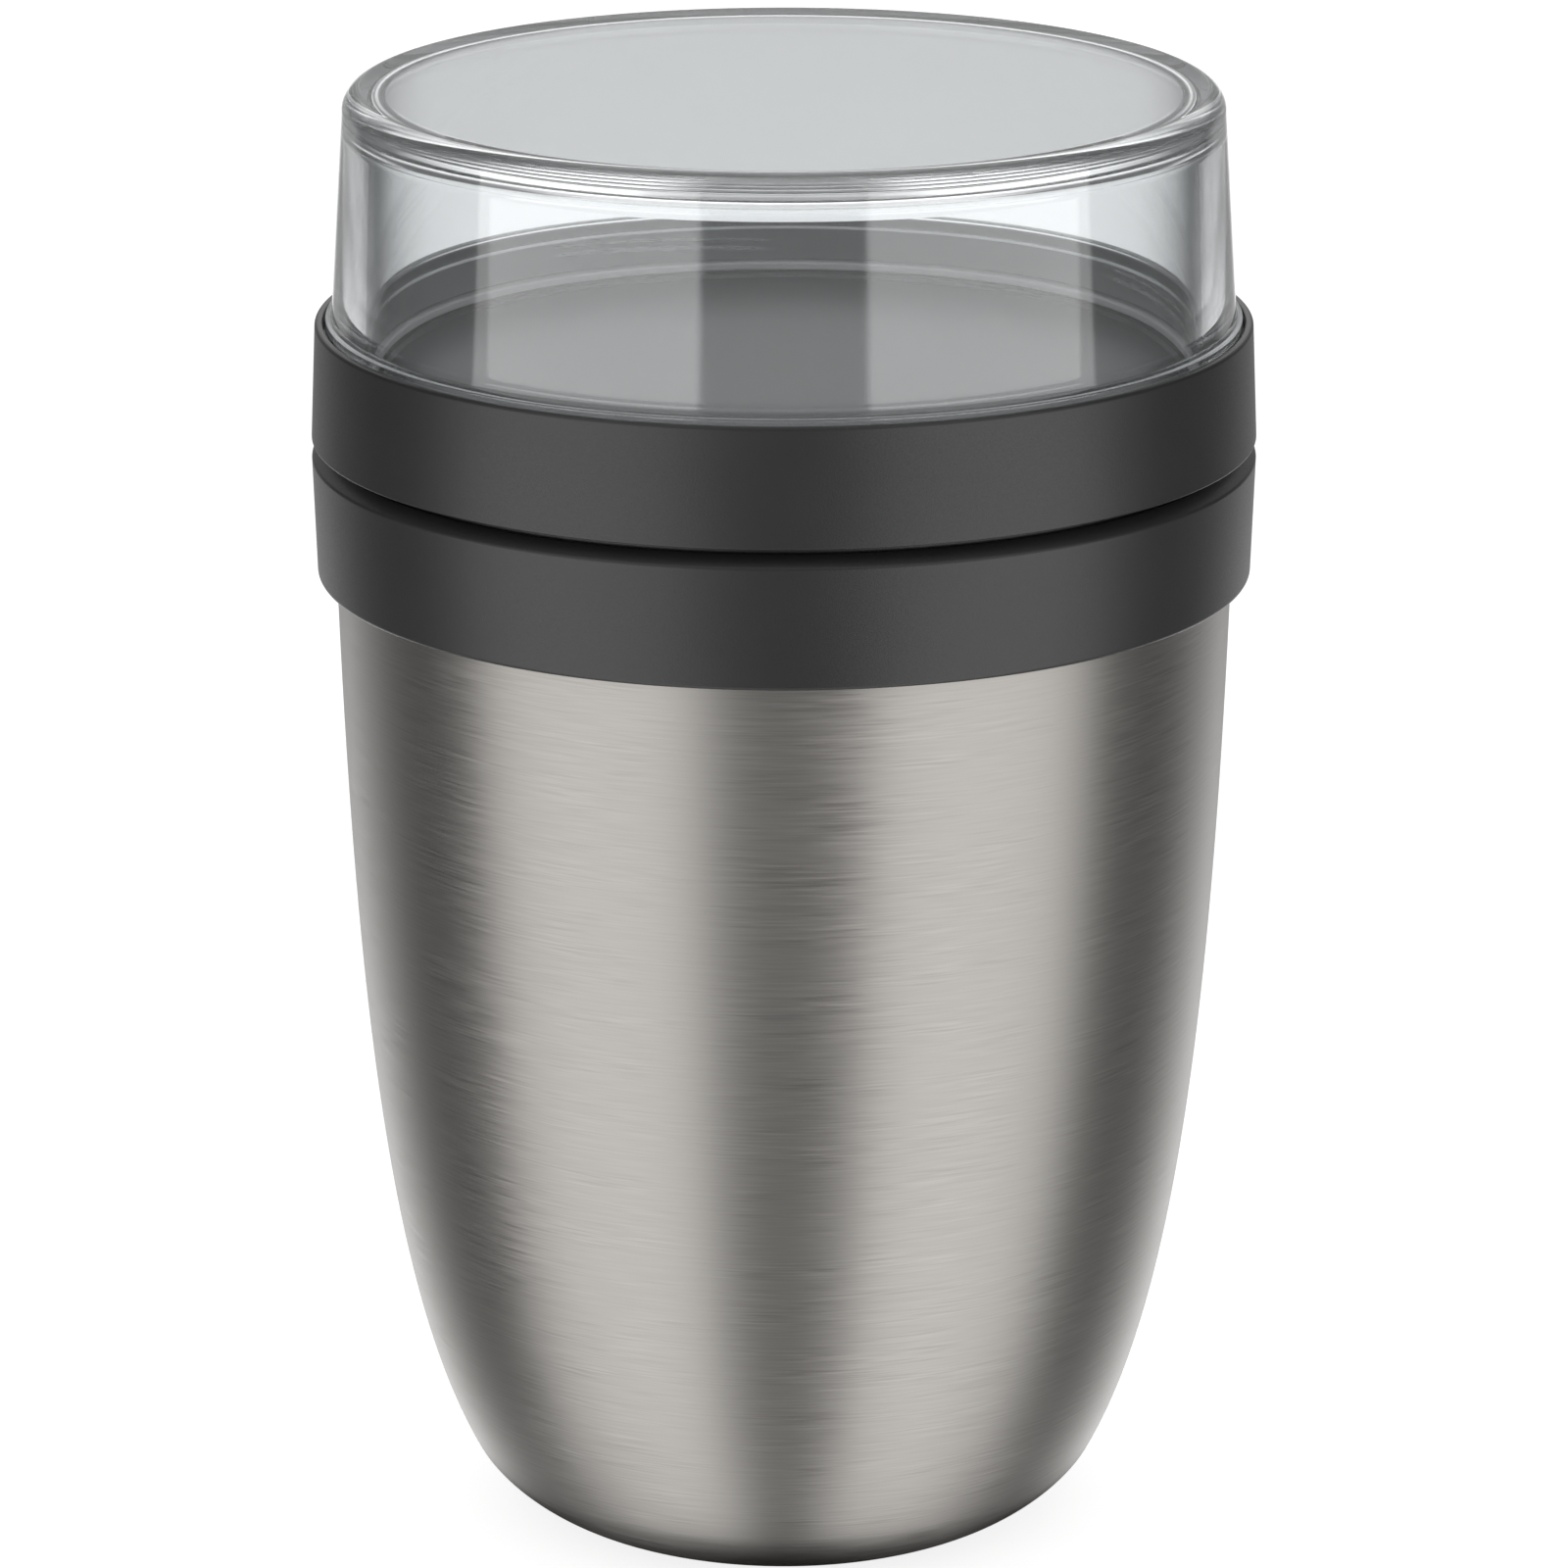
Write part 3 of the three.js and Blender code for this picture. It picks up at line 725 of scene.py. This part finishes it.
# Pieces that replace a solid, with the materials of each
record = frame["record"]
body_of = {node: body for body, nodes in record["behaviour"]["bodies"].items() for node in nodes}
finished = {
    "outer_shell": (outer_shell, steel),
    "inner_liner": (inner_liner, liner_steel),
    "base_cover": (base_cover, steel),
    "neck_collar": (neck_collar, dark_plastic),
    "lid_ring": (lid_ring, dark_plastic),
    "lid_plug": (lid_plug, dark_plastic),
    "lid_gasket": (lid_gasket, silicone),
    "cup_gasket": (cup_gasket, pale_silicone),
    "clear_cup": (clear_cup, clear, frosted, satin, edge_shaded_clear),
}
for node, (make, *materials) in finished.items():
    piece = make()
    for material in materials:
        piece.data.materials.append(material)
    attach(piece, body_of[node])
    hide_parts(node)

# Solids that are sealed inside and stay as they are
sealed = {
    "heat_foil": copper,
    "outer_bottom": liner_steel,
    "vacuum_seal_bead": solder,
    "getter_pellet": getter_alloy,
    "getter_clip": liner_steel,
    "collar_seal": silicone,
    "plug_insulation": foam,
}
for node, material in sealed.items():
    solid = frame["nodes"][node]
    solid.data.materials.clear()
    solid.data.materials.append(material)

# Studio: levels of light as (degrees round from the camera's side, level), in bands one above the other
LIGHT_BELOW = [
    (20.5, 0.28), (22, 1.95), (83, 1.95), (84.5, 0.18), (122, 0.18),
    (140, 1.3), (152, 1.9), (165, 1.9), (171, 0.3),
]
LIGHT_LEVEL = [
    (20.5, 0.58), (22, 2.4), (83, 2.4), (84.5, 0.3), (104, 0.18), (140, 0.12),
    (147, 0.5), (163, 0.45), (167, 0.6), (170, 1.1), (177, 1.15),
]
LIGHT_ABOVE = [(20.5, 0.25), (22, 1.0), (83, 1.0), (84.5, 0.12), (134, 0.12), (172, 0.42)]
LIGHT_HIGH = [(20.5, 0.25), (22, 1.0), (83, 1.0), (84.5, 0.12), (134, 0.12), (172, 1.5)]
LIGHT_TOP = (0.8, 0.8, 0.8, 1)
WHITE = (1, 1, 1, 1)
HALF_BOUNCE = 0.5

# Degrees up or down at which one band of light goes over into the next
BELOW_TO_LEVEL = (-19, -14.5)
LEVEL_TO_ABOVE = (-2, 2)
ABOVE_TO_HIGH = (12, 18)
HIGH_TO_TOP = (48, 62)

# Floor, and painted shade under the pot: the dark that the steel shows of the floor close to it
FLOOR_REACH = 20000
FLOOR_DROP = 0.2
FLOOR_COLOUR = (0.8, 0.8, 0.8, 1)
FLOOR_SHADED = (0.4, 0.4, 0.4, 1)
FLOOR_GLOW = 0.84
SHADE_DROP = 0.1
SHADE_RADIUS = 33
SHADE_END = 43
PAINTED_SHADE_COLOUR = (0.03, 0.03, 0.03, 1)


def studio():
    """Two softboxes in front, dark flags between and beside them, and a pale backdrop behind."""
    world = bpy.data.worlds.new("studio")
    world.use_nodes = True
    bpy.context.scene.world = world
    nodes = Nodes(world.node_tree)
    x, y, z = nodes.add("SeparateXYZ", {0: nodes.add("TexCoord", {}).outputs["Generated"]}).outputs
    azimuth = nodes.maths("ABSOLUTE", nodes.maths("ARCTAN2", x, nodes.maths("MULTIPLY", y, -1)))
    turn = nodes.maths("DIVIDE", azimuth, math.pi)

    def around(levels):
        node = nodes.add("ValToRGB", {"Fac": turn})
        elements = node.color_ramp.elements
        while len(elements) < len(levels):
            elements.new(1.0)
        for element, (degrees, level) in zip(elements, levels):
            element.position = degrees / HALF_TURN
            element.color = (level, level, level, 1)
        return node.outputs["Color"]

    def above(low, high):
        return nodes.span(z, 0, 1, math.sin(math.radians(low)), math.sin(math.radians(high)))

    light = nodes.mixed(above(*BELOW_TO_LEVEL), around(LIGHT_BELOW), around(LIGHT_LEVEL))
    light = nodes.mixed(above(*LEVEL_TO_ABOVE), light, around(LIGHT_ABOVE))
    light = nodes.mixed(above(*ABOVE_TO_HIGH), light, around(LIGHT_HIGH))
    light = nodes.mixed(above(*HIGH_TO_TOP), light, LIGHT_TOP)

    # The camera sees plain white, also straight through the cup.
    # A ray counts whole bounces, so less than half a bounce means that nothing has mirrored it yet.
    path = nodes.add("LightPath", {}).outputs
    direct = nodes.maths("LESS_THAN", path["Glossy Depth"], HALF_BOUNCE)
    through = nodes.maths("MULTIPLY", path["Is Transmission Ray"], direct)
    seen = nodes.maths("MAXIMUM", path["Is Camera Ray"], through)
    background = nodes.add("Background", {"Color": nodes.mixed(seen, light, WHITE)})
    nodes.add("OutputWorld", {"Surface": background.outputs[0]})


def painted_contact_shade():
    """Painted shade: a dark disc that only reflections see, for the dark of the floor under the pot as
    the steel just above it shows it.
    """
    angles = np.arange(SEGMENTS) * 2 * math.pi / SEGMENTS
    reach = SHADE_END * MM
    rim = [(reach * math.cos(a), reach * math.sin(a), -SHADE_DROP * MM) for a in angles]
    mesh = bpy.data.meshes.new("painted_contact_shade")
    mesh.from_pydata(rim, [], [range(SEGMENTS)])
    shade = bpy.data.objects.new("painted_contact_shade", mesh)
    bpy.context.scene.collection.objects.link(shade)
    material, nodes = new_material("painted_contact_shade")
    radius = nodes.add("VectorMath", {0: nodes.place()}, operation="LENGTH").outputs["Value"]
    bare = nodes.add("BsdfTransparent", {}).outputs[0]
    # Painted shade: a dark colour standing in for the floor's shadow in the steel's reflection
    dark = nodes.add("BsdfDiffuse", {"Color": PAINTED_SHADE_COLOUR}).outputs[0]
    share = nodes.span(radius, 0, 1, SHADE_RADIUS * MM, SHADE_END * MM, smooth=True)
    surface = nodes.add("MixShader", {0: share, 1: dark, 2: bare}).outputs[0]
    nodes.add("OutputMaterial", {"Surface": surface})
    mesh.materials.append(material)
    shade.visible_camera = False
    shade.visible_diffuse = False
    shade.visible_transmission = False
    shade.visible_shadow = False


def pale_floor():
    """A white floor that keeps a soft shadow."""
    signs = [(-1, -1), (1, -1), (1, 1), (-1, 1)]
    reach = FLOOR_REACH * MM
    corners = [(x * reach, y * reach, -FLOOR_DROP * MM) for x, y in signs]
    mesh = bpy.data.meshes.new("floor")
    mesh.from_pydata(corners, [], [range(len(corners))])
    floor = bpy.data.objects.new("floor", mesh)
    bpy.context.scene.collection.objects.link(floor)
    material, nodes = new_material("pale_floor")
    seen = nodes.add("LightPath", {}).outputs["Is Camera Ray"]
    shaded = nodes.add("BsdfDiffuse", {"Color": FLOOR_SHADED}).outputs[0]
    glow = nodes.add("Emission", {"Color": WHITE, "Strength": FLOOR_GLOW}).outputs[0]
    lit = nodes.add("AddShader", {0: shaded, 1: glow}).outputs[0]
    plain = nodes.add("BsdfDiffuse", {"Color": FLOOR_COLOUR}).outputs[0]
    surface = nodes.add("MixShader", {0: seen, 1: plain, 2: lit}).outputs[0]
    nodes.add("OutputMaterial", {"Surface": surface})
    mesh.materials.append(material)
    floor.visible_glossy = False
    floor.visible_transmission = False


# Camera, as the photograph was taken, in metres but for its lens and sensor
CAMERA_DISTANCE = 0.8
CAMERA_ELEVATION = math.radians(16.843)
CAMERA_AIM = Vector((0, 0, 0.08623))
CAMERA_LENS = 159.4
CAMERA_SENSOR = 36

# Bounces enough for the light that runs down inside the clear wall
ALL_BOUNCES = 32
CLEAR_BOUNCES = 24


def camera():
    data = bpy.data.cameras.new("camera")
    data.lens = CAMERA_LENS
    data.sensor_width = CAMERA_SENSOR
    back = Vector((0, -math.cos(CAMERA_ELEVATION), math.sin(CAMERA_ELEVATION)))
    eye = bpy.data.objects.new("camera", data)
    eye.location = CAMERA_AIM + back * CAMERA_DISTANCE
    eye.rotation_euler = (-back).to_track_quat("-Z", "Y").to_euler()
    bpy.context.scene.collection.objects.link(eye)
    bpy.context.scene.camera = eye


studio()
pale_floor()
painted_contact_shade()
camera()
bpy.context.scene.view_settings.view_transform = "Standard"
bpy.context.scene.cycles.max_bounces = ALL_BOUNCES
bpy.context.scene.cycles.glossy_bounces = CLEAR_BOUNCES
bpy.context.scene.cycles.transmission_bounces = CLEAR_BOUNCES
